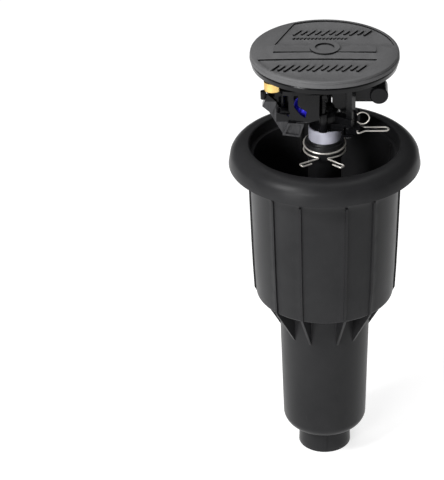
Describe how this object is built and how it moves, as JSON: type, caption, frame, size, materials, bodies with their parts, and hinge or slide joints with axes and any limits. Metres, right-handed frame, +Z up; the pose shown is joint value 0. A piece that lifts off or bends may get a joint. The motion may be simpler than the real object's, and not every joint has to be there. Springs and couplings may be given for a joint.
{
  "type": "pop up sprinkler",
  "caption": "Pop-up impact sprinkler for lawns: a flanged round case with a threaded inlet, whose lid, nozzle and weighted arm rise on a riser and turn.",
  "frame": {"origin": "centre of the inlet's mouth, the object's lowest plane", "axes": "+Z up the riser's axis, towards the lid; -Y is the front, where the lower friction collar's tabs are"},
  "size_m": [0.127, 0.127, 0.3064],
  "materials": {
    "case": "satin",
    "riser": "satin",
    "mechanism": "semi-gloss",
    "lid": "pebbled",
    "sleeve": "satin",
    "nozzle": "gloss",
    "spring_wire": "drawn",
    "steel": "plain",
    "brass": "turned",
    "seal": "matte",
    "bushing": "satin"
  },
  "bodies": {
    "housing": {"case": "case", "riser_guide": "riser", "guide_screws": "steel", "guide_oring": "seal", "wiper_seal": "seal", "retraction_spring": "spring_wire"},
    "riser": {"riser_tube": "riser", "riser_seal": "seal", "inlet_screen": "riser", "bearing_sleeve": "sleeve"},
    "collar_lower": {"friction_collar_lower": "spring_wire"},
    "collar_upper": {"friction_collar_upper": "spring_wire"},
    "head": {"nozzle_body": "mechanism", "bearing_washers": "bushing", "bearing_nut": "brass", "bridge": "mechanism", "nozzle": "nozzle", "fulcrum_pin": "steel", "arm_spring": "spring_wire", "diffuser_screw": "mechanism", "trip_bracket": "mechanism", "trip_pivot_pin": "steel", "lid": "lid", "lid_screws": "steel"},
    "arm": {"drive_arm": "mechanism", "arm_bushing": "bushing", "arm_weight": "brass", "arm_counterweight": "mechanism", "jet_tube": "mechanism"},
    "lever": {"trip_lever": "mechanism", "trip_spring": "spring_wire"},
    "pin": {"trip_pin": "spring_wire"}
  },
  "joints": [
    {"name": "riser_slide", "type": "slide", "parent": "housing", "child": "riser", "axis": [0, 0, 1], "range_m": [-0.066, 0.01], "deforming": ["retraction_spring"]},
    {"name": "head_turn", "type": "hinge", "parent": "riser", "child": "head", "pos_m": [0, 0, 0.245], "axis": [0, 0, 1], "continuous": true},
    {"name": "collar_lower_turn", "type": "hinge", "parent": "riser", "child": "collar_lower", "pos_m": [0, 0, 0.2345], "axis": [0, 0, 1], "continuous": true},
    {"name": "collar_upper_turn", "type": "hinge", "parent": "riser", "child": "collar_upper", "pos_m": [0, 0, 0.238], "axis": [0, 0, 1], "continuous": true},
    {"name": "arm_swing", "type": "hinge", "parent": "head", "child": "arm", "pos_m": [0, 0, 0.277], "axis": [0, 0, 1], "range_deg": [0, 50], "stiffness_Nm_per_rad": 0.01, "springref_deg": -20.05},
    {"name": "lever_trip", "type": "hinge", "parent": "head", "child": "lever", "pos_m": [0.0155, -0.008, 0.2514], "axis": [0, 0, 1], "range_deg": [0, 24]},
    {"name": "pin_flip", "type": "hinge", "parent": "lever", "child": "pin", "pos_m": [0.0213, -0.008, 0.2513], "axis": [0, 1, 0], "range_deg": [0, 90]}
  ]
}
